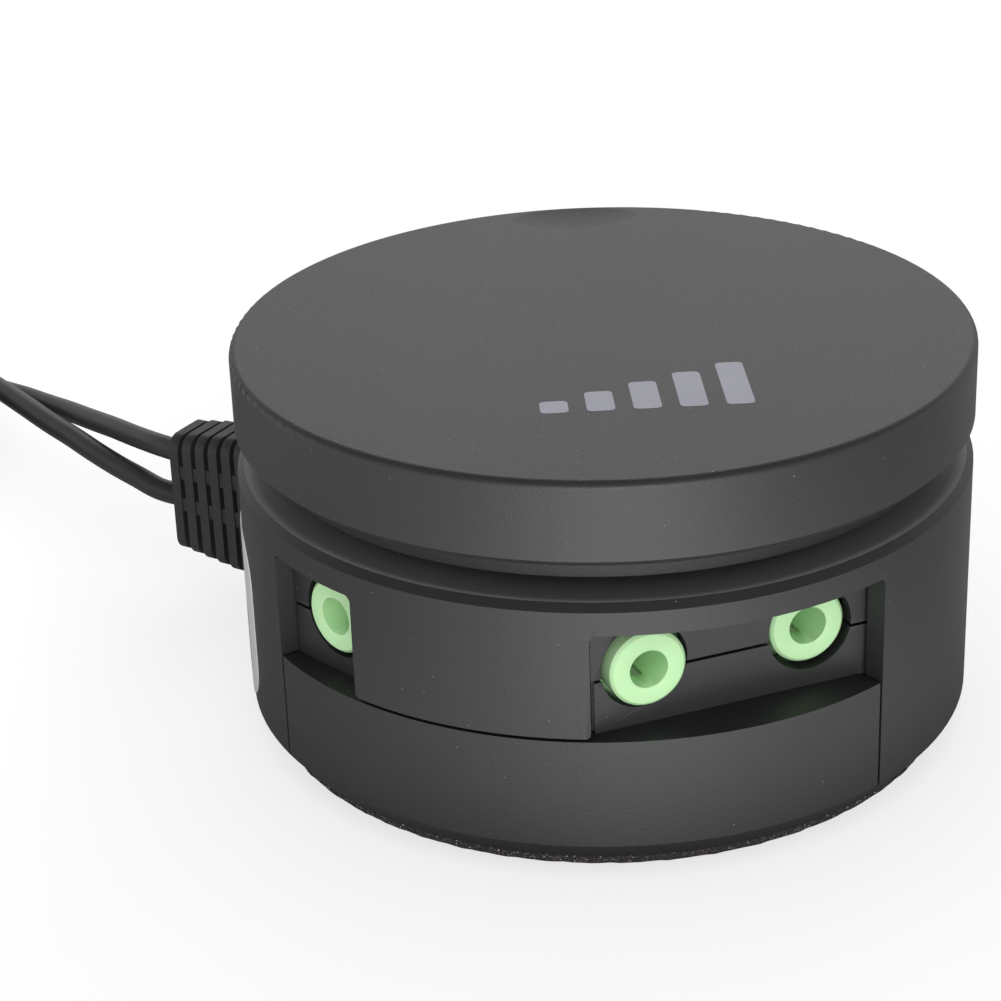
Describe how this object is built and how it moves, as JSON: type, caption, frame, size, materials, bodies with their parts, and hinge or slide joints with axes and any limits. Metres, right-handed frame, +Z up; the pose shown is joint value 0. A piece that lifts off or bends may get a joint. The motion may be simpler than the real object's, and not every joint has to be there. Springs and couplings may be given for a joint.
{
  "type": "volume controller",
  "caption": "Wired desk volume controller: broad round turning knob on a drum housing, audio sockets in front windows, ribbed strain relief and coiled leads with plugs.",
  "frame": {"origin": "on the table at the knob's axis, at the bottom of the foam pad", "axes": "+Z up along the knob's axis, -Y towards the front with the sockets, +X to the right"},
  "size_m": [0.1597, 0.1514, 0.0384],
  "materials": {
    "housing": "fine matt texture",
    "knob": "fine matt texture",
    "foam": "dull open-cell foam",
    "label": "satin paper label",
    "cord": "satin PVC",
    "socket": "satin moulded plastic",
    "nickel": "nickel plate",
    "steel": "zinc plate",
    "brass": "phosphor bronze",
    "board": "solder mask",
    "phenolic": "phenolic paper",
    "rotor": "moulded",
    "strap": "moulded",
    "plug": "satin PVC",
    "insulator": "moulded"
  },
  "bodies": {
    "base": {"upper_housing": "housing", "lower_housing": "housing", "foam_pad": "foam", "label": "label", "strain_relief": "cord", "circuit_board": "board", "socket_left": "socket", "socket_middle": "socket", "socket_right": "socket", "socket_left_contacts": "nickel", "socket_middle_contacts": "nickel", "socket_right_contacts": "nickel", "pot_case": "steel", "pot_tracks": "phenolic", "pot_terminals": "nickel", "pot_bush": "nickel", "pot_washer": "steel", "pot_nut": "nickel", "housing_screws": "steel", "board_screws": "steel", "lead_wires": "cord", "upper_lead": "cord", "lower_lead": "cord", "upper_coil": "cord", "lower_coil": "cord", "upper_tail": "cord", "lower_tail": "cord", "upper_tie": "strap", "lower_tie": "strap", "upper_plug": "plug", "lower_plug": "plug", "upper_plug_pin": "nickel", "lower_plug_pin": "nickel", "upper_plug_rings": "insulator", "lower_plug_rings": "insulator"},
    "knob": {"knob_cap": "knob", "knob_carrier": "housing", "knob_screws": "steel", "pot_shaft": "steel", "pot_rotor": "rotor", "pot_wipers": "brass"}
  },
  "joints": [
    {"name": "knob_turn", "type": "hinge", "parent": "base", "child": "knob", "pos_m": [0, 0, 0.03], "axis": [0, 0, 1], "range_deg": [-155, 145]}
  ]
}
